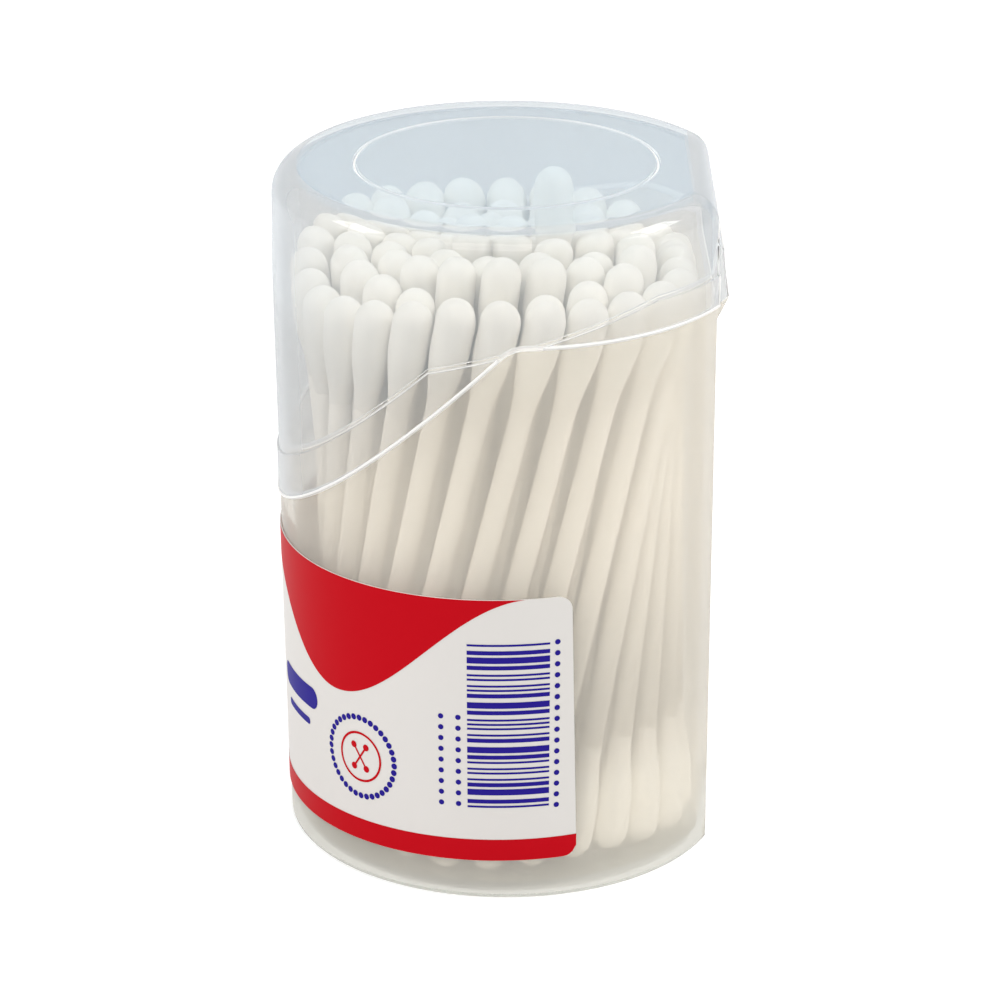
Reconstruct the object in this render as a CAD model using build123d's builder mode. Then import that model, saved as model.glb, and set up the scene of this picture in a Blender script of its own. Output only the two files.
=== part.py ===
import os
from math import acos, asin, atan, cos, degrees, floor, hypot, pi, radians, sin, sqrt, tan

from build123d import *

os.makedirs("parts", exist_ok=True)

# Swabs, all sizes in millimetres
swab_length = 72.0
swab_spread = 1.2  # how far single swabs differ in length
swab_lift = 1.2  # how far single swabs are pulled up from the floor
stick_r = 1.35
bud_r = 2.3
bud_tip_r = 1.45
bud_nose = 2.4  # from the tip to the thickest place
bud_full = 7.0  # from the tip to where the bud grows slimmer
bud_length = 14.0
bud_gap = 0.25  # between neighbours in one ring
ring_gap = 0.25  # between one ring of swabs and the next
wall_clear = 0.25  # between the outer ring and the wall
seat_gap = 0.05  # between the lowest bud edge and the floor
twist = 45.0  # turn of the bundle from floor to top, in degrees
swab_sides = 8
tall_ring_number = 3  # ring of the one swab that stands up above the others
tall_swab_number = 0
tall_clear = 1.1  # between that swab and the lid

# Drum, with the hinge and the flat back on +X
base_r = 26.45  # outside radius at the foot
wall_flare = 1.05  # how much wider it is at the level part of the parting line
shoulder_draft = 0.14  # how much the lid's wall leans in up to its top
flat_cut = 3.3  # depth of the flat back, cut from the round wall
wall_r = base_r + wall_flare
shoulder_r = wall_r - shoulder_draft
flat_x = wall_r - flat_cut

# Floor, foot and height
foot_recess = 0.5
floor_thick = 1.1
foot_width = 2.4
foot_round = 0.7
head_room = 8.0  # above an upright swab
top_thick = 1.2
floor_top = foot_recess + floor_thick
height = floor_top + swab_length + head_room + top_thick
reach = height  # half size of the helper shapes that cut the drum

# Parting line between tub and lid, seen from the side
lid_rise = 13.4  # height of the lid above the level part of the line
part_slope = radians(44.0)  # slant towards the front
part_turn_x = 0.5  # where the level part turns down
part_turn_r = 4.0
part_gap = 0.3  # clearance between tub and lid all along the line
part_z = height - lid_rise

# Lid wall and skirt
top_round = 3.4
lid_wall = 0.9
skirt_inset = 0.5  # from the drum's outside to the inside of the skirt
skirt_step = 0.2  # how far the skirt stands out from the wall above it
skirt_lift = 0.3  # outside step above the collar's top
skirt_room = 0.6  # inside step above the collar's top
ring_inset = 9.8  # from the wall to the fine ring sunk into the top
ring_width = 0.5
ring_depth = 0.3
ring_r = wall_r - ring_inset

# Collar of the tub that stands inside the lid's skirt
collar_clear = 0.35  # between skirt and collar
collar_thick = 0.65
collar_rise = 3.4  # above the level part of the parting line
collar_band = 3.8  # across the slanted part of the parting line
collar_level = 7.2  # length of the level top, from the flat back
collar_drop = 9.3  # from the turn of the parting line to where the collar runs beside it
collar_inset = skirt_inset + collar_clear
tub_wall = collar_inset + collar_thick
collar_back_x = flat_x - collar_level
collar_front_x = part_turn_x - collar_drop

# Film hinge on the flat back
hinge_depth = 1.4  # how far the two lips stand out
hinge_side_gap = 0.16  # from the end of a lip to the edge of the flat back
hinge_end_cut = 3.1  # how much shorter a lip is at its outer edge
hinge_bend_depth = 0.65  # the lid's lip at its bend
hinge_bend_rise = 6.5
hinge_top_rise = 7.7
hinge_x = flat_x + hinge_depth
hinge_root_half = sqrt(wall_r**2 - flat_x**2) - hinge_side_gap
hinge_edge_half = hinge_root_half - hinge_end_cut

# Label round the front
label_low = 4.65  # at the middle of the front
label_margin = 4.1  # from the label's top to the lid's lowest edge
label_slant = radians(1.2)  # the sheet is cut square, so its ends ride up on the tapered wall
label_half_angle = radians(72.5)  # where the label ends, to each side of the hinge
label_corner_r = 1.7
label_thick = 0.12
label_glue = 0.05  # layer between label and tub
label_edge_x = wall_r * cos(label_half_angle)

# The drum's axis lies beside the middle of the overall length
axis_x = (wall_r - hinge_x) / 2
side = Plane(origin=(axis_x, 0, 0), x_dir=(1, 0, 0), z_dir=(0, -1, 0))
plan = Plane(origin=(axis_x, 0, 0), x_dir=(1, 0, 0), z_dir=(0, 0, 1))
drum_axis = Axis((axis_x, 0, 0), (0, 0, 1))


def outer_r(z):
    """Outside radius of the drum at a height."""
    if z <= part_z:
        return base_r + (wall_r - base_r) * z / part_z
    return wall_r + (shoulder_r - wall_r) * (z - part_z) / (height - part_z)


def slant_z(x):
    """Height of the slanted part of the parting line."""
    return part_z - (part_turn_x - x) * tan(part_slope)


def drum(inset, low, high, high_round=0.0, low_round=0.0):
    """The drum's form, moved inwards by the inset, with its flat back."""
    with BuildPart() as form:
        with BuildSketch(side):
            with BuildLine():
                Polyline(
                    (0, low),
                    (outer_r(low) - inset, low),
                    (wall_r - inset, part_z),
                    (outer_r(high) - inset, high),
                    (0, high),
                    close=True,
                )
            make_face()
        revolve(axis=drum_axis)
        split(bisect_by=Plane.YZ.offset(axis_x + flat_x - inset), keep=Keep.BOTTOM)
        if high_round > 0:
            fillet(form.edges().group_by(Axis.Z)[-1], high_round)
        if low_round > 0:
            fillet(form.edges().group_by(Axis.Z)[0], low_round)
    return form.part


def below_parting(lift):
    """Everything below the parting line, with the line moved outwards by the lift."""
    turn_x = part_turn_x - lift * tan(part_slope / 2)
    with BuildPart() as region:
        with BuildSketch(side) as shape:
            with BuildLine():
                Polyline(
                    (reach, -reach),
                    (reach, part_z + lift),
                    (turn_x, part_z + lift),
                    (-reach, slant_z(-reach) + lift / cos(part_slope)),
                    (-reach, -reach),
                    close=True,
                )
            make_face()
            fillet(shape.vertices().sort_by_distance((turn_x, part_z + lift))[0], part_turn_r + lift)
        extrude(amount=reach, both=True)
    return region.part


def below_collar(lift):
    """Everything below the collar's top edge, with the edge raised by the lift."""
    band_z = collar_band / cos(part_slope) + lift
    with BuildPart() as region:
        with BuildSketch(side):
            with BuildLine():
                Polyline(
                    (reach, -reach),
                    (reach, part_z + collar_rise + lift),
                    (collar_back_x, part_z + collar_rise + lift),
                    (collar_front_x, slant_z(collar_front_x) + band_z),
                    (-reach, slant_z(-reach) + band_z),
                    (-reach, -reach),
                    close=True,
                )
            make_face()
        extrude(amount=reach, both=True)
    return region.part


def common(first, second):
    """The space that two forms share."""
    with BuildPart() as both:
        add(first)
        add(second, mode=Mode.INTERSECT)
    return both.part


def hinge_lip(points):
    """A lip across the flat back with slanted ends, from its side profile."""
    with BuildPart() as lip:
        with BuildSketch(side):
            with BuildLine():
                Polyline(*points, close=True)
            make_face()
        extrude(amount=hinge_root_half, both=True)
        with BuildSketch(plan):
            with BuildLine():
                Polyline(
                    (flat_x - lid_wall, -hinge_root_half),
                    (flat_x, -hinge_root_half),
                    (hinge_x, -hinge_edge_half),
                    (hinge_x, hinge_edge_half),
                    (flat_x, hinge_root_half),
                    (flat_x - lid_wall, hinge_root_half),
                    close=True,
                )
            make_face()
        extrude(amount=height, mode=Mode.INTERSECT)
    return lip.part


# Tub
tub_low_z = part_z - part_gap / 2
tub_lip_depth = hinge_x - flat_x
tub_body = common(drum(0, 0, height, low_round=foot_round), below_parting(-part_gap / 2))
tub_collar = common(drum(collar_inset, floor_top, height), below_collar(0))
tub_lip = hinge_lip(
    [
        (flat_x - lid_wall / 2, tub_low_z),
        (hinge_x, tub_low_z),
        (flat_x, tub_low_z - tub_lip_depth),
        (flat_x - lid_wall / 2, tub_low_z - tub_lip_depth),
    ]
)
tub_space = drum(tub_wall, floor_top, height)
with BuildPart() as tub:
    add(tub_body)
    add(tub_collar)
    add(tub_lip)
    add(tub_space, mode=Mode.SUBTRACT)
    with BuildSketch(plan):
        Circle(base_r - foot_width)
        with Locations((flat_x - foot_width - reach, 0)):
            Rectangle(2 * reach, 2 * reach, mode=Mode.INTERSECT)
    extrude(amount=foot_recess, mode=Mode.SUBTRACT)
tub.part.label = "tub"
export_step(tub.part, "parts/tub.step")

# Lid
lid_low_z = part_z + part_gap / 2
lid_form = drum(0, 0, height, high_round=top_round)
lid_skirt = common(drum(-skirt_step, 0, height), below_collar(skirt_lift))
lid_space = drum(lid_wall, -reach / 2, height - top_thick, high_round=top_round - lid_wall)
skirt_space = common(drum(skirt_inset, -reach / 2, height - top_thick), below_collar(skirt_room))
lid_under = below_parting(part_gap / 2)
lid_lip = hinge_lip(
    [
        (flat_x - lid_wall / 2, lid_low_z),
        (hinge_x, lid_low_z),
        (flat_x + hinge_bend_depth, part_z + hinge_bend_rise),
        (flat_x, part_z + hinge_top_rise),
        (flat_x - lid_wall / 2, part_z + hinge_top_rise),
    ]
)
with BuildPart() as lid:
    add(lid_form)
    add(lid_skirt)
    add(lid_space, mode=Mode.SUBTRACT)
    add(skirt_space, mode=Mode.SUBTRACT)
    add(lid_under, mode=Mode.SUBTRACT)
    add(lid_lip)
    with BuildSketch(plan.offset(height)):
        Circle(ring_r + ring_width / 2)
        Circle(ring_r - ring_width / 2, mode=Mode.SUBTRACT)
    extrude(amount=-ring_depth, mode=Mode.SUBTRACT)
lid.part.label = "lid"
export_step(lid.part, "parts/lid.step")

# Label
label_tall = slant_z(-wall_r) - label_margin - label_low
label_run = wall_r + label_edge_x
label_side = Plane(
    origin=(axis_x - wall_r, 0, label_low),
    x_dir=(cos(label_slant), 0, sin(label_slant)),
    z_dir=(0, -1, 0),
)
label_skin = drum(-label_glue - label_thick, 0, height)
label_core = drum(-label_glue, 0, height)
with BuildPart() as label:
    with BuildSketch(label_side) as sheet:
        with BuildLine():
            Polyline(
                (-reach, 0),
                (label_run, 0),
                (label_run, label_tall),
                (-reach, label_tall),
                close=True,
            )
        make_face()
        fillet(sheet.vertices().group_by(Axis.X)[-1], label_corner_r)
    extrude(amount=reach, both=True)
    add(label_skin, mode=Mode.INTERSECT)
    add(label_core, mode=Mode.SUBTRACT)
label.part.label = "label"
export_step(label.part, "parts/label.step")


def ring_turn(radius, limit):
    """Angle from +X at which a ring of swabs leaves the straight run beside the flat wall."""
    return acos(max(-1, min(1, limit / radius)))


def ring_path(radius, limit):
    """Length once round a ring of swabs."""
    turn = ring_turn(radius, limit)
    return 2 * radius * (pi - turn) + 2 * radius * sin(turn)


def ring_point(radius, limit, share):
    """A place on a ring of swabs, by its share of the way round from +X."""
    turn = ring_turn(radius, limit)
    half_run = radius * sin(turn)
    way = (share % 1) * ring_path(radius, limit)
    if way < half_run:
        return (limit, way)
    if way > ring_path(radius, limit) - half_run:
        return (limit, way - ring_path(radius, limit))
    angle = turn + (way - half_run) / radius
    return (radius * cos(angle), radius * sin(angle))


# Foot and direction of every swab, ring by ring from the wall to the middle
ring_pitch = 2 * bud_r + ring_gap
foot_ring_r = outer_r(floor_top + bud_nose) - tub_wall - bud_r - wall_clear
head_ring_r = wall_r - tub_wall - bud_r - wall_clear
flat_limit = flat_x - tub_wall - bud_r - wall_clear
half_twist = radians(twist) / 2
ring_count = floor((foot_ring_r - 1.2 * bud_r) / ring_pitch) + 1
bud_places = []
stick_places = []
stick_lengths = []
for ring in range(ring_count):
    foot_r = foot_ring_r - ring * ring_pitch
    head_r = head_ring_r - ring * ring_pitch
    limit = flat_limit - ring * ring_pitch
    lean = asin(2 * foot_r * sin(half_twist) / swab_length)
    pitch_r = ring_path(foot_r, limit) / (2 * pi)
    in_ring = floor(pi / asin(min(1, (2 * bud_r + bud_gap) / cos(lean) / (2 * pitch_r))))
    for number in range(in_ring):
        share = (number + 0.5 * (ring % 2)) / in_ring
        length = swab_length + swab_spread * sin(5.8 * len(stick_lengths))
        lift = swab_lift * (1 + sin(5.4 * len(stick_lengths))) / 2
        head_x, head_y = ring_point(head_r, limit, share)
        foot_x, foot_y = ring_point(foot_r, limit, share - twist / 360)
        run = hypot(head_x - foot_x, head_y - foot_y)
        rise = sqrt(length**2 - run**2)
        way = Vector(head_x - foot_x, head_y - foot_y, rise).normalized()
        foot_z = floor_top + seat_gap + bud_tip_r * run / length
        if ring == tall_ring_number and number == tall_swab_number:
            tall_top = height - top_thick - tall_clear
            lift = (tall_top - foot_z - rise) / way.Z
        foot = Vector(axis_x + foot_x, foot_y, foot_z) + way * lift
        bud_places.append(Plane(origin=foot, z_dir=way).location)
        bud_places.append(Plane(origin=foot + way * length, z_dir=way * -1).location)
        stick_places.append(Plane(origin=foot + way * bud_length, z_dir=way).location)
        stick_lengths.append(length - 2 * bud_length)

# One cotton bud, with its tip at the origin
flat_share = cos(pi / swab_sides)
nose_taper = degrees(atan((bud_r - bud_tip_r) * flat_share / bud_nose))
tail_taper = degrees(atan((bud_r - stick_r) * flat_share / (bud_length - bud_full)))
with BuildPart() as bud_front:
    with BuildSketch():
        RegularPolygon(bud_r, swab_sides)
    extrude(amount=bud_nose, taper=nose_taper)
with BuildPart() as bud:
    with BuildSketch(Plane.XY.offset(bud_nose)):
        RegularPolygon(bud_r, swab_sides)
    extrude(amount=bud_full - bud_nose)
    with BuildSketch(Plane.XY.offset(bud_full)):
        RegularPolygon(bud_r, swab_sides)
    extrude(amount=bud_length - bud_full, taper=tail_taper)
    with Locations((0, 0, bud_nose)):
        add(bud_front.part, rotation=(180, 0, 0))


def stick(length):
    """One bare paper stick, from bud to bud."""
    with BuildPart() as shaft:
        with BuildSketch():
            RegularPolygon(stick_r, swab_sides)
        extrude(amount=length)
    return shaft.part


# All buds share one node, and so do all sticks
buds = Compound([bud.part.solid().moved(place) for place in bud_places])
buds.label = "buds"
export_step(buds, "parts/buds.step")
sticks = Compound([stick(length).solid().moved(place) for length, place in zip(stick_lengths, stick_places)])
sticks.label = "sticks"
export_step(sticks, "parts/sticks.step")
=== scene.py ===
import math

import bpy
import numpy as np
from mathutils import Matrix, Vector


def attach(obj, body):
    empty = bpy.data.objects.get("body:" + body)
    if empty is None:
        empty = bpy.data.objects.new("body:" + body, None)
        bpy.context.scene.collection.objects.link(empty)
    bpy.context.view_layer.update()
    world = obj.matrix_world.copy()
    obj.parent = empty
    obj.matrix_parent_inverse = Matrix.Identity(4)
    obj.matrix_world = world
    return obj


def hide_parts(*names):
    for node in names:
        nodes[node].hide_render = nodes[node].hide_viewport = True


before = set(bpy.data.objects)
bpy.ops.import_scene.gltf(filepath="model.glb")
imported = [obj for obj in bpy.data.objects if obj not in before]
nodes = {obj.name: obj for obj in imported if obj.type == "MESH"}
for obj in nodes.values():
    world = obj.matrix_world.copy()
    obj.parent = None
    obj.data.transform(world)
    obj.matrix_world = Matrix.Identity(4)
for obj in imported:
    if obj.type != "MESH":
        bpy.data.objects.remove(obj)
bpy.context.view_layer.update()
MM = 0.001

# Drum, as the part has it, all sizes in millimetres
AXIS_X = 0.95  # the axis lies beside the middle of the footprint
WALL_R = 27.5  # outside, at the level part of the parting line
BASE_R = 26.45  # outside, at the foot
PART_Z = 69.4
FLAT_X = 24.2  # from the axis to the flat back
TOP_Z = 82.8
RING_R = 17.7  # fine ring in the lid's top
RING_DEPTH = 0.3
RING_STEPS = 144
BEAD_SIDES = 6

# Where the faces of tub and lid change their look
EDGE_Z = 30.0  # the tub's cut edges lie above this
FOOT_Z = 2.0  # the foot lies below this
COLLAR_DEPTH = (0.6, 1.2)  # outside of the collar, from the outer wall
SKIRT_DEPTH = (0.35, 0.7)  # inside of the skirt
SKIRT_Z = 76.0  # the skirt lies below this
RIM_Z = 78.0  # the lid's rim lies below this
SUNK_R = 20.0  # the sunk ring lies within this

# Swabs
BUD_R = 2.3
BUD_NOSE = 2.5  # from the tip to the thickest place
BUD_FULL = 5.5  # from the tip to where the bud grows slimmer
BUD_SIDES = 20
TAIL_STEP = 0.02  # thickness of the cotton where it ends on the stick
TAIL_END = 0.03  # length of the level end of the tail
TAIL_RINGS = 5  # rings of points that the tail takes up
STICK_R = 1.35
STICK_SIDES = 18
STICK_REACH = 0.5  # how far a stick goes into each of its buds

# Label, and the height of its layers over the wall
LABEL_LOW = 4.65  # at the middle of the front
LABEL_TALL = 33.61
LABEL_RUN = 35.77  # from the middle of the front to the label's end, along X
LABEL_SLANT = math.radians(1.2)
LABEL_CORNER = 1.7
LABEL_OUT = 0.17
PRINT_OUT = 0.195
BACK_OUT = 0.03

# Print on the label, by the angle from the middle of the front and the height over the foot
LABEL_STEPS = 240
EDGE_ANGLE = 0.1  # bare strip along the label's ends
EDGE_UP = 0.03  # bare strip along its long edges
BAND_UP = 2.8
WAVE_ANGLE = 42.0  # where the wave hangs lowest
WAVE_FRONT = (24.4, 5.6)  # middle and swing of the wave towards the front
WAVE_BACK = (26.2, 7.4)  # and towards the label's end
WAVE_SPAN = 54.0  # from the lowest place to the top edge
LADDER_ANGLE = 90.5
LADDER_UP = 7.0
LADDER_BARS = 26
LADDER_HALF = 4.9
DOT_ROWS = ((73.6, 9, 7.4), (78.0, 9, 7.4), (102.6, 16, 7.0))  # angle, count and lowest dot
DOT_PITCH = 1.4
LOZENGE_ANGLE = 22.0
BADGE_ANGLE = 50.1
BADGE_UP = 11.0
BADGE_DOTS = 36
BADGE_DOT_R = 5.1
BADGE_RING_R = 3.1
BADGE_SWAB = 1.7  # half length of the crossed swabs
BADGE_LEAN = 0.6

# Camera, fitted to the outline in the photograph
LENS = 144.84
CAMERA_PLACE = (0.00022, -0.4485, 0.22314)
CAMERA_DIP = 22.197
FLOOR_HALF = 3.0


def wall_r(z):
    """Outside radius of the tub at a height, in millimetres."""
    return BASE_R + (WALL_R - BASE_R) * z / PART_Z


def new_mesh(name, points, faces, smooth=True):
    """A mesh object from points in metres."""
    mesh = bpy.data.meshes.new(name)
    mesh.from_pydata([tuple(p) for p in points], [], faces)
    mesh.polygons.foreach_set("use_smooth", [smooth] * len(mesh.polygons))
    mesh.update()
    piece = bpy.data.objects.new(name, mesh)
    bpy.context.scene.collection.objects.link(piece)
    return piece


def flat_caps(piece):
    """Keeps the round ends of turned forms flat, so that they don't shade the side next to them."""
    flags = [len(face.vertices) == 4 for face in piece.data.polygons]
    piece.data.polygons.foreach_set("use_smooth", flags)


def material(name):
    """An empty node material with its output."""
    mat = bpy.data.materials.new(name)
    mat.use_nodes = True
    mat.node_tree.nodes.clear()
    out = mat.node_tree.nodes.new("ShaderNodeOutputMaterial")
    return mat, mat.node_tree, out


def plain(name, colour, rough, specular=0.4):
    """A plain opaque finish."""
    mat, tree, out = material(name)
    shader = tree.nodes.new("ShaderNodeBsdfPrincipled")
    shader.inputs["Base Color"].default_value = (*colour, 1)
    shader.inputs["Roughness"].default_value = rough
    shader.inputs["Specular IOR Level"].default_value = specular
    tree.links.new(shader.outputs[0], out.inputs["Surface"])
    return mat


def plastic(name, tint, rough, haze, milk_colour, graze, coat):
    """Natural polypropylene: clear with a milky veil that thickens at a slant, and open to the lamps."""
    mat, tree, out = material(name)
    clear = tree.nodes.new("ShaderNodeBsdfPrincipled")
    clear.inputs["Base Color"].default_value = (*tint, 1)
    clear.inputs["Roughness"].default_value = rough
    clear.inputs["IOR"].default_value = 1.06
    clear.inputs["Transmission Weight"].default_value = 1.0
    clear.inputs["Coat Weight"].default_value = coat
    clear.inputs["Coat IOR"].default_value = 1.45
    clear.inputs["Coat Roughness"].default_value = 0.06
    front = tree.nodes.new("ShaderNodeBsdfDiffuse")
    front.inputs["Color"].default_value = (*milk_colour, 1)
    behind = tree.nodes.new("ShaderNodeBsdfTranslucent")
    behind.inputs["Color"].default_value = (*milk_colour, 1)
    milk = tree.nodes.new("ShaderNodeMixShader")
    milk.inputs[0].default_value = 0.5
    tree.links.new(front.outputs[0], milk.inputs[1])
    tree.links.new(behind.outputs[0], milk.inputs[2])
    veil = tree.nodes.new("ShaderNodeMixShader")
    veil.inputs[0].default_value = haze
    tree.links.new(clear.outputs[0], veil.inputs[1])
    tree.links.new(milk.outputs[0], veil.inputs[2])
    grazing = tree.nodes.new("ShaderNodeLayerWeight")
    grazing.inputs["Blend"].default_value = graze
    thick = tree.nodes.new("ShaderNodeMixShader")
    tree.links.new(grazing.outputs["Facing"], thick.inputs[0])
    tree.links.new(veil.outputs[0], thick.inputs[1])
    tree.links.new(milk.outputs[0], thick.inputs[2])
    path = tree.nodes.new("ShaderNodeLightPath")
    lamp = tree.nodes.new("ShaderNodeBsdfTransparent")
    lamp.inputs["Color"].default_value = (0.98, 0.98, 0.98, 1)
    pick = tree.nodes.new("ShaderNodeMixShader")
    tree.links.new(path.outputs["Is Shadow Ray"], pick.inputs[0])
    tree.links.new(thick.outputs[0], pick.inputs[1])
    tree.links.new(lamp.outputs[0], pick.inputs[2])
    tree.links.new(pick.outputs[0], out.inputs["Surface"])
    return mat


def inset(p):
    """How far a point lies inside the tub's outer wall, in millimetres."""
    x, y, z = (c / MM for c in p)
    return min(wall_r(z) - math.hypot(x - AXIS_X, y), AXIS_X + FLAT_X - x)


def outward(face):
    """How far a face looks away from the drum's axis, from -1 to 1."""
    way = Vector((face.center.x - AXIS_X * MM, face.center.y, 0)).normalized()
    away = face.normal.dot(way)
    return max(away, face.normal.x) if away > 0 else away


# Tub and lid, with paler edges where the moulding is cut off square: their whiter milk is a painted
# highlight, for the light those edges catch
BODY, EDGE, FLAT, INNER = range(4)
TUB_LOOKS = (
    ("plastic_tub", (0.92, 0.915, 0.895), 0.05, 0.38, (0.797, 0.765, 0.705), 0.06, 0.5),
    # painted highlight: near-white milk on the tub's cut edges
    ("edge_tub_painted_highlight", (0.95, 0.95, 0.95), 0.05, 0.6, (0.95, 0.95, 0.95), 0, 0.5),
    # painted shade: the foot is a darker, greyer copy of the tub's plastic
    ("foot_tub_painted_shade", (0.66, 0.66, 0.62), 0.05, 0.3, (0.55, 0.55, 0.5), 0, 0.5),
    ("inner_tub", (0.98, 0.98, 0.98), 0.06, 0.02, (0.8, 0.77, 0.72), 0, 0.1),
)
LID_LOOKS = (
    ("plastic_lid", (0.85, 0.828, 0.8), 0.06, 0.18, (0.58, 0.63, 0.68), 0.11, 0.9),
    # painted highlight: near-white milk on the lid's rim, cut edges and ring walls
    ("edge_lid_painted_highlight", (0.95, 0.95, 0.95), 0.06, 0.6, (0.95, 0.95, 0.95), 0, 0.5),
    ("plastic_top", (0.81, 0.825, 0.83), 0.06, 0.27, (0.52, 0.65, 0.76), 0, 0.5),
    ("inner_lid", (0.98, 0.98, 0.98), 0.06, 0.02, (0.72, 0.74, 0.76), 0, 0.1),
)


def tub_look(face):
    """Look of a face of the tub."""
    depth = inset(face.center)
    if face.normal.z > 0.5 and face.center.z > EDGE_Z * MM and depth > 0.05:
        return EDGE
    # faces at the foot take the darker plastic, painted shade near the floor
    if max(tub.data.vertices[i].co.z for i in face.vertices) < FOOT_Z * MM:
        return FLAT
    if COLLAR_DEPTH[0] < depth < COLLAR_DEPTH[1] and outward(face) > 0.5:
        return INNER
    return BODY


def lid_look(face):
    """Look of a face of the lid."""
    depth = inset(face.center)
    from_axis = math.hypot(face.center.x - AXIS_X * MM, face.center.y)
    if abs(face.normal.z) < 0.5 and from_axis < SUNK_R * MM:
        return EDGE
    if face.normal.z < -0.5 and face.center.z < RIM_Z * MM:
        return EDGE
    if abs(face.normal.z) > 0.98:
        return FLAT
    if SKIRT_DEPTH[0] < depth < SKIRT_DEPTH[1] and outward(face) < -0.5 and face.center.z < SKIRT_Z * MM:
        return INNER
    return BODY


tub, lid = nodes["tub"], nodes["lid"]
for piece, looks, look in ((tub, TUB_LOOKS, tub_look), (lid, LID_LOOKS, lid_look)):
    piece.data.materials.clear()
    for values in looks:
        piece.data.materials.append(plastic(*values))
    for face in piece.data.polygons:
        face.material_index = look(face)


def edge_runs(mesh, chosen):
    """Chains the chosen edges of a mesh into runs of points."""
    co = [v.co.copy() for v in mesh.vertices]
    key = [tuple(round(c * 1e7) for c in p) for p in co]
    place = dict(zip(key, co))
    near = {}
    for a, b in chosen:
        if key[a] != key[b]:
            near.setdefault(key[a], set()).add(key[b])
            near.setdefault(key[b], set()).add(key[a])
    runs, left = [], set(near)
    while left:
        ends = [k for k in left if len(near[k] & left) == 1]
        here = min(ends) if ends else min(left)
        run = [here]
        left.discard(here)
        while True:
            after = near[here] & left
            if not after:
                break
            here = min(after)
            run.append(here)
            left.discard(here)
        if len(run) > 2 and run[0] in near[run[-1]]:
            run.append(run[0])
        runs.append([place[k] for k in run])
    return [r for r in runs if len(r) > 1]


def bead(name, runs, radius, body, mat):
    """A fine round bead along an edge, coloured white as a painted highlight where the rounded moulding
    would catch the light.
    """
    points, faces = [], []
    for run in runs:
        start = len(points)
        for k, p in enumerate(run):
            way = (run[min(k + 1, len(run) - 1)] - run[max(k - 1, 0)]).normalized()
            across = way.cross(Vector((0, 0, 1)))
            across = across.normalized() if across.length > 1e-6 else Vector((1, 0, 0))
            other = way.cross(across)
            for n in range(BEAD_SIDES):
                a = 2 * math.pi * n / BEAD_SIDES
                points.append(p + (across * math.cos(a) + other * math.sin(a)) * radius)
        for k in range(len(run) - 1):
            low, high = start + BEAD_SIDES * k, start + BEAD_SIDES * (k + 1)
            for n in range(BEAD_SIDES):
                m = (n + 1) % BEAD_SIDES
                faces.append((low + n, low + m, high + m, high + n))
        if (run[0] - run[-1]).length > 1e-7:
            faces.append(tuple(reversed(range(start, start + BEAD_SIDES))))
            faces.append(tuple(range(len(points) - BEAD_SIDES, len(points))))
    piece = new_mesh(name, points, faces)
    piece.data.materials.append(mat)
    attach(piece, body)
    return piece


def edges_at(piece, low, high):
    """Edges of the pale faces that lie at a certain depth in the wall."""
    depth = [inset(v.co) for v in piece.data.vertices]
    found = set()
    for face in piece.data.polygons:
        if face.material_index == EDGE:
            for a, b in face.edge_keys:
                if low < depth[a] < high and low < depth[b] < high:
                    found.add((a, b))
    return found


def corner_edges(piece):
    """Outer edges where the round wall meets the flat back."""
    flat = (AXIS_X + FLAT_X) * MM
    key = [tuple(round(c * 1e7) for c in v.co) for v in piece.data.vertices]
    round_edges, flat_edges = set(), {}
    for face in piece.data.polygons:
        for a, b in face.edge_keys:
            if min(piece.data.vertices[i].co.x for i in (a, b)) > flat - 0.02 * MM:
                pair = frozenset((key[a], key[b]))
                if face.normal.x > 0.99:
                    flat_edges[pair] = (a, b)
                elif face.normal.x > 0.3:
                    round_edges.add(pair)
    return {ends for pair, ends in flat_edges.items() if pair in round_edges}


# Painted highlights: fine white beads along the rim, the corners, the collar, the parting edge and the
# ring, for the light their rounded edges catch
painted_highlight_mat = plain("painted_highlight_white", (0.95, 0.94, 0.92), 0.3, 0.5)
bead("rim_painted_highlight", edge_runs(lid.data, edges_at(lid, -0.3, -0.1)), 0.17 * MM, "lid", painted_highlight_mat)
bead("lid_corner_painted_highlight", edge_runs(lid.data, corner_edges(lid)), 0.1 * MM, "lid", painted_highlight_mat)
bead("collar_painted_highlight", edge_runs(tub.data, edges_at(tub, 0.8, 0.9)), 0.08 * MM, "tub", painted_highlight_mat)
bead("tub_painted_highlight", edge_runs(tub.data, edges_at(tub, -0.1, 0.1)), 0.06 * MM, "tub", painted_highlight_mat)
ring_run = []
for k in range(RING_STEPS + 1):
    a = 2 * math.pi * k / RING_STEPS
    place = Vector((AXIS_X + RING_R * math.cos(a), RING_R * math.sin(a), TOP_Z - RING_DEPTH))
    ring_run.append(place * MM)
bead("ring_painted_highlight", [ring_run], 0.12 * MM, "lid", painted_highlight_mat)


def loose_parts(mesh):
    """The separate solids of a node, each as an array of its corner points."""
    co = np.empty(len(mesh.vertices) * 3)
    mesh.vertices.foreach_get("co", co)
    co = co.reshape(-1, 3)
    keys, first = {}, np.empty(len(co), int)
    for i, p in enumerate(np.round(co, 7)):
        first[i] = keys.setdefault(tuple(p), i)
    root = {int(i): int(i) for i in set(first)}

    def top(i):
        while root[i] != i:
            root[i] = root[root[i]]
            i = root[i]
        return i

    for a, b in mesh.edge_keys:
        root[top(first[a])] = top(first[b])
    groups = {}
    for i in root:
        groups.setdefault(top(i), []).append(i)
    return [co[g] for g in groups.values()]


def long_axis(points):
    """Middle and direction of a long solid, and the places of its points along that direction."""
    middle = points.mean(0)
    way = np.linalg.svd(points - middle)[2][0]
    along = (points - middle) @ way
    return middle, way, along


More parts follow.
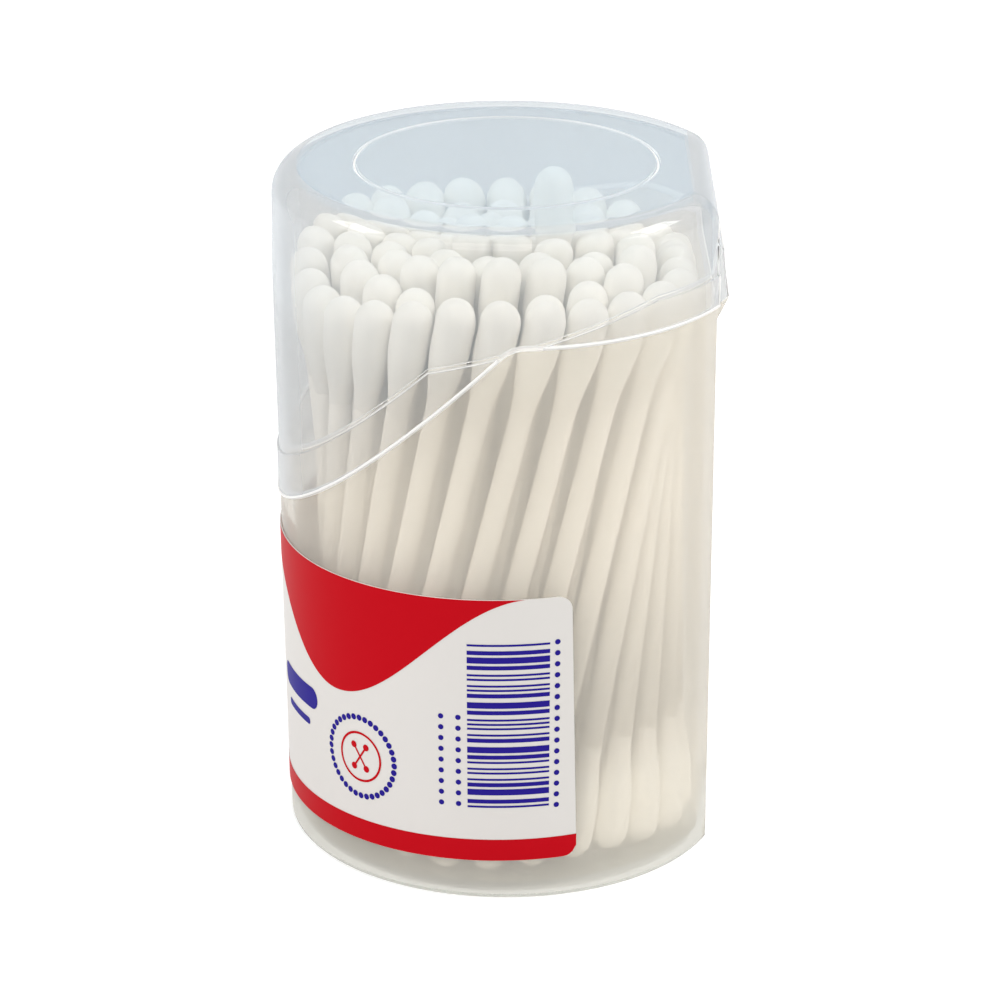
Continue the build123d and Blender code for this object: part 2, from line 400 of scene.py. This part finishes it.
def lathe(profile, foot, way, sides, start):
    """A closed turned form: rings of points round an axis, with a flat face at either end."""
    way = Vector(way).normalized()
    across = way.orthogonal().normalized()
    other = way.cross(across)
    points, faces = [], []
    for level, radius in profile:
        centre = Vector(foot) + way * level
        for k in range(sides):
            a = 2 * math.pi * k / sides
            points.append(centre + (across * math.cos(a) + other * math.sin(a)) * radius)
    rings = len(profile)
    for r in range(rings - 1):
        for k in range(sides):
            n = (k + 1) % sides
            a, b = start + r * sides, start + (r + 1) * sides
            faces.append((a + k, a + n, b + n, b + k))
    faces.append(tuple(start + k for k in reversed(range(sides))))
    faces.append(tuple(start + (rings - 1) * sides + k for k in range(sides)))
    return points, faces


def bud_profile(length):
    """Outline of a cotton bud from tip to tail: a round nose, a full body and a slim tail."""
    tip_r, tail_r = 0.1, STICK_R + TAIL_STEP
    shape = []
    for k in range(7):
        a = math.pi / 2 * k / 6
        shape.append((BUD_NOSE * (1 - math.cos(a)), tip_r + (BUD_R - tip_r) * math.sin(a)))
    shape.append((BUD_FULL, BUD_R))
    for k in range(1, 9):
        t = k / 8
        fall = t * t * (3 - 2 * t)
        shape.append((BUD_FULL + (length - BUD_FULL) * t, BUD_R - (BUD_R - tail_r) * fall))
    shape.insert(-1, (length - TAIL_END, tail_r))
    return [(z * MM, r * MM) for z, r in shape]


def cotton(name, colour):
    """Soft white fibre."""
    mat, tree, out = material(name)
    shader = tree.nodes.new("ShaderNodeBsdfPrincipled")
    shader.inputs["Base Color"].default_value = (*colour, 1)
    shader.inputs["Roughness"].default_value = 0.95
    shader.inputs["Specular IOR Level"].default_value = 0.1
    shader.inputs["Sheen Weight"].default_value = 0.2
    place = tree.nodes.new("ShaderNodeTexCoord")
    fibre = tree.nodes.new("ShaderNodeTexNoise")
    fibre.inputs["Scale"].default_value = 1800
    fibre.inputs["Detail"].default_value = 3
    bump = tree.nodes.new("ShaderNodeBump")
    bump.inputs["Strength"].default_value = 0.25
    bump.inputs["Distance"].default_value = 0.0002
    tree.links.new(place.outputs["Object"], fibre.inputs["Vector"])
    tree.links.new(fibre.outputs["Fac"], bump.inputs["Height"])
    tree.links.new(bump.outputs[0], shader.inputs["Normal"])
    tree.links.new(shader.outputs[0], out.inputs["Surface"])
    return mat


# Swabs: a turned form in the place of each bud and each stick
cotton_mat = cotton("cotton", (0.965, 0.935, 0.865))
tail_mat = plain("cotton_tail", (0.95, 0.906, 0.832), 0.95, 0.1)
paper_mat = plain("stick_paper", (0.945, 0.895, 0.812), 0.9, 0.1)
bud_points, bud_faces, bud_tails = [], [], []
for solid in loose_parts(nodes["buds"].data):
    middle, way, along = long_axis(solid)
    levels = np.sort(along)
    if np.median(along) > (levels[0] + levels[-1]) / 2:
        way, along = -way, -along
    foot = middle + way * along.min()
    length = (along.max() - along.min()) / MM
    profile = bud_profile(length)
    points, faces = lathe(profile, foot, way, BUD_SIDES, len(bud_points))
    body = (len(profile) - TAIL_RINGS) * BUD_SIDES
    bud_points += points
    bud_faces += faces
    bud_tails += [int(k >= body) for k in range(len(faces))]
buds = new_mesh("cotton_buds", bud_points, bud_faces)
buds.data.materials.append(cotton_mat)
buds.data.materials.append(tail_mat)
buds.data.polygons.foreach_set("material_index", bud_tails)
flat_caps(buds)
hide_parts("buds")
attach(buds, "tub")
stick_points, stick_faces = [], []
for solid in loose_parts(nodes["sticks"].data):
    middle, way, along = long_axis(solid)
    foot = middle + way * along.min()
    length = along.max() - along.min()
    reach = STICK_REACH * MM
    shape = [(-reach, STICK_R * MM), (length + reach, STICK_R * MM)]
    points, faces = lathe(shape, foot, way, STICK_SIDES, len(stick_points))
    stick_points += points
    stick_faces += faces
sticks = new_mesh("paper_sticks", stick_points, stick_faces)
sticks.data.materials.append(paper_mat)
flat_caps(sticks)
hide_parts("sticks")
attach(sticks, "tub")

# Label: white paper with fields of colour printed on it
label = nodes["label"]
label.data.materials.clear()
label.data.materials.append(plain("label_paper", (0.765, 0.738, 0.705), 0.45, 0.2))


def label_end(up):
    """Angle from the middle of the front to the label's end, at a height over the label's foot."""
    x = WALL_R - LABEL_RUN * math.cos(LABEL_SLANT) + up * math.sin(LABEL_SLANT)
    z = LABEL_LOW + LABEL_RUN * math.sin(LABEL_SLANT) + up * math.cos(LABEL_SLANT)
    return math.degrees(math.acos(x / (wall_r(z) + LABEL_OUT)))


def on_label(angle, up, out):
    """A point over the tub's wall, by its angle from the middle of the front and height over the foot."""
    turn = math.radians(angle)
    r = wall_r(LABEL_LOW + up) + out
    z = LABEL_LOW + (up + (WALL_R - r * math.cos(turn)) * math.sin(LABEL_SLANT)) / math.cos(LABEL_SLANT)
    r = wall_r(z) + out
    return ((AXIS_X - r * math.cos(turn)) * MM, -r * math.sin(turn) * MM, z * MM)


def corner_drop(angle, up):
    """How far the label's rounded corner has drawn in at an angle."""
    left = math.radians(label_end(up) - abs(angle)) * wall_r(LABEL_LOW + up)
    left = max(0.0, min(LABEL_CORNER, left))
    return LABEL_CORNER - math.sqrt(LABEL_CORNER**2 - (LABEL_CORNER - left) ** 2)


def strip(points, faces, low_edge, high_edge, out):
    """A band of print between two rows of places on the label."""
    start = len(points)
    for low, high in zip(low_edge, high_edge):
        points.append(on_label(*low, out))
        points.append(on_label(*high, out))
    for k in range(len(low_edge) - 1):
        i = start + 2 * k
        faces.append((i, i + 2, i + 3, i + 1))


def block(points, faces, middle, up, half_width, half_height, out, corner=0.0):
    """A block of print with rounded ends, its sizes in millimetres."""
    low, high = [], []
    steps = 24
    for k in range(steps + 1):
        x = half_width * math.sin(math.pi / 2 * (2 * k / steps - 1))
        over = max(0.0, abs(x) - (half_width - corner))
        draw = corner - math.sqrt(max(0.0, corner**2 - over**2))
        angle = middle + math.degrees(x / WALL_R)
        low.append((angle, up - half_height + draw))
        high.append((angle, up + half_height - draw))
    strip(points, faces, low, high, out)


def hoop(points, faces, middle, up, radius, width, out, steps=72):
    """A printed ring, or a dot where its width is twice its radius."""
    inner, outer = [], []
    for k in range(steps + 1):
        a = -2 * math.pi * k / steps
        for edge, size in ((inner, radius - width / 2), (outer, radius + width / 2)):
            angle = middle + math.degrees(size * math.cos(a) / WALL_R)
            edge.append((angle, up + size * math.sin(a)))
    strip(points, faces, inner, outer, out)


def wave(angle):
    """Lower edge of the red field, over the label's foot."""
    past = abs(angle) - WAVE_ANGLE
    if past < 0:
        return WAVE_FRONT[0] - WAVE_FRONT[1] * math.cos(past / WAVE_ANGLE * math.pi)
    return WAVE_BACK[0] - WAVE_BACK[1] * math.cos(min(1, past / WAVE_SPAN) * math.pi)


def printed(name, colour, out, shapes):
    """One ink of the label, on its own thin layer."""
    points, faces = [], []
    shapes(points, faces, out)
    piece = new_mesh(name, points, faces)
    piece.data.materials.append(plain(name, colour, 0.45, 0.04))
    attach(piece, "tub")
    return piece


def red_shapes(points, faces, out):
    """Wavy field along the top and band along the bottom."""
    low, high, band_low, band_high = [], [], [], []
    for k in range(LABEL_STEPS + 1):
        share = 2 * k / LABEL_STEPS - 1
        angle = (label_end(LABEL_TALL) - EDGE_ANGLE) * share
        top = LABEL_TALL - EDGE_UP - corner_drop(angle, LABEL_TALL)
        low.append((angle, min(wave(angle), top)))
        high.append((angle, top))
        angle = (label_end(0) - EDGE_ANGLE) * share
        band_low.append((angle, EDGE_UP + corner_drop(angle, 0)))
        band_high.append((angle, BAND_UP))
    strip(points, faces, low, high, out)
    strip(points, faces, band_low, band_high, out)


def navy_shapes(points, faces, out):
    """A ladder of bars with rows of dots, lozenges on the label's front and a ring of dots."""
    up = LADDER_UP
    for k in range(LADDER_BARS):
        thick = (0.26, 0.52, 0.26, 0.78)[k * 5 % 7 % 4]
        block(points, faces, LADDER_ANGLE, up + thick / 2, LADDER_HALF, thick / 2, out)
        up += thick + (0.3, 0.56, 0.3)[k * 4 % 5 % 3]
    for angle, count, low in DOT_ROWS:
        for k in range(count):
            hoop(points, faces, angle, low + DOT_PITCH * k, 0.17, 0.34, out, 12)
    block(points, faces, LOZENGE_ANGLE, 15.6, 5.6, 1.4, out, 1.35)
    block(points, faces, LOZENGE_ANGLE, 12.2, 3.6, 0.45, out, 0.4)
    for k in range(BADGE_DOTS):
        a = 2 * math.pi * k / BADGE_DOTS
        angle = BADGE_ANGLE + math.degrees(BADGE_DOT_R * math.cos(a) / WALL_R)
        hoop(points, faces, angle, BADGE_UP + BADGE_DOT_R * math.sin(a), 0.2, 0.4, out, 10)


def badge_shapes(points, faces, out):
    """A plain ring with two crossed swabs in it."""
    hoop(points, faces, BADGE_ANGLE, BADGE_UP, BADGE_RING_R, 0.3, out)
    for lean in (-BADGE_LEAN, BADGE_LEAN):
        low, high = [], []
        for along in (-BADGE_SWAB, BADGE_SWAB):
            for edge, across in ((low, -0.13), (high, 0.13)):
                x = along * math.sin(lean) + across * math.cos(lean)
                up = along * math.cos(lean) - across * math.sin(lean)
                edge.append((BADGE_ANGLE + math.degrees(x / WALL_R), BADGE_UP + up))
            angle = BADGE_ANGLE + math.degrees(along * math.sin(lean) / WALL_R)
            hoop(points, faces, angle, BADGE_UP + along * math.cos(lean), 0.22, 0.44, out, 16)
        strip(points, faces, low, high, out)


printed("print_red", (0.55, 0.003, 0.01), PRINT_OUT, red_shapes)
printed("print_navy", (0.022, 0.013, 0.26), PRINT_OUT, navy_shapes)
printed("print_badge", (0.55, 0.003, 0.01), PRINT_OUT, badge_shapes)
# Red print seen through the back of the label, inside the wall: the print is real, its pale pink is
# painted light for the glow that passes through the label
printed("print_back_painted_glow", (0.9, 0.3, 0.3), BACK_OUT, red_shapes)


def shows_backdrop(tree, path):
    """One for rays that show the pale surroundings: seen, mirrored or looked at through glass."""
    mirrored = tree.nodes.new("ShaderNodeMath")
    mirrored.operation = "MAXIMUM"
    either = tree.nodes.new("ShaderNodeMath")
    either.operation = "MAXIMUM"
    tree.links.new(path.outputs["Is Camera Ray"], mirrored.inputs[0])
    tree.links.new(path.outputs["Is Glossy Ray"], mirrored.inputs[1])
    tree.links.new(mirrored.outputs[0], either.inputs[0])
    tree.links.new(path.outputs["Is Transmission Ray"], either.inputs[1])
    return either.outputs[0]


def backdrop():
    """White floor that keeps the shadow, and that looks paler to the eye than the light it gives back."""
    mat, tree, out = material("floor")
    shader = tree.nodes.new("ShaderNodeBsdfDiffuse")
    shader.inputs["Color"].default_value = (0.85, 0.85, 0.85, 1)
    pale = tree.nodes.new("ShaderNodeEmission")
    pale.inputs["Color"].default_value = (1, 1, 1, 1)
    pale.inputs["Strength"].default_value = 0.4
    both = tree.nodes.new("ShaderNodeAddShader")
    tree.links.new(shader.outputs[0], both.inputs[0])
    tree.links.new(pale.outputs[0], both.inputs[1])
    path = tree.nodes.new("ShaderNodeLightPath")
    pick = tree.nodes.new("ShaderNodeMixShader")
    tree.links.new(shows_backdrop(tree, path), pick.inputs[0])
    tree.links.new(shader.outputs[0], pick.inputs[1])
    tree.links.new(both.outputs[0], pick.inputs[2])
    tree.links.new(pick.outputs[0], out.inputs["Surface"])
    return mat


# Floor, light and camera
corners = [(x * FLOOR_HALF, y * FLOOR_HALF, 0) for x, y in ((-1, -1), (1, -1), (1, 1), (-1, 1))]
floor = new_mesh("floor", corners, [(0, 1, 2, 3)], smooth=False)
floor.data.materials.append(backdrop())


def soft_light(name, place, aim, wide, tall, watts):
    """A soft studio lamp."""
    data = bpy.data.lights.new(name, "AREA")
    data.shape = "RECTANGLE"
    data.size = wide
    data.size_y = tall
    data.energy = watts
    lamp = bpy.data.objects.new(name, data)
    lamp.location = place
    lamp.rotation_euler = (Vector(aim) - Vector(place)).to_track_quat("-Z", "Y").to_euler()
    bpy.context.scene.collection.objects.link(lamp)
    return lamp


soft_light("left", (-0.62, 0.0, 0.56), (0, 0, 0.06), 0.3, 0.22, 1.3)
soft_light("right", (0.62, 0.0, 0.56), (0, 0, 0.06), 0.3, 0.22, 1.8)
soft_light("front", (-0.1, -0.62, 0.68), (0, 0, 0.04), 0.6, 0.4, 2.0)

world = bpy.data.worlds.new("studio")
bpy.context.scene.world = world
world.use_nodes = True
tree = world.node_tree
tree.nodes.clear()
world_out = tree.nodes.new("ShaderNodeOutputWorld")
seen = tree.nodes.new("ShaderNodeBackground")
seen.inputs["Color"].default_value = (1, 1, 1, 1)
seen.inputs["Strength"].default_value = 1.0
lit = tree.nodes.new("ShaderNodeBackground")
lit.inputs["Color"].default_value = (1, 1, 1, 1)
lit.inputs["Strength"].default_value = 0.66
path = tree.nodes.new("ShaderNodeLightPath")
pick = tree.nodes.new("ShaderNodeMixShader")
tree.links.new(shows_backdrop(tree, path), pick.inputs[0])
tree.links.new(lit.outputs[0], pick.inputs[1])
tree.links.new(seen.outputs[0], pick.inputs[2])
tree.links.new(pick.outputs[0], world_out.inputs["Surface"])

bpy.context.scene.view_settings.view_transform = "Standard"

camera_data = bpy.data.cameras.new("camera")
camera_data.lens = LENS
camera_data.sensor_width = 36
camera_data.clip_start = 0.01
camera_data.clip_end = 20
camera = bpy.data.objects.new("camera", camera_data)
camera.location = CAMERA_PLACE
camera.rotation_euler = (math.radians(90 - CAMERA_DIP), 0, 0)
bpy.context.scene.collection.objects.link(camera)
bpy.context.scene.camera = camera
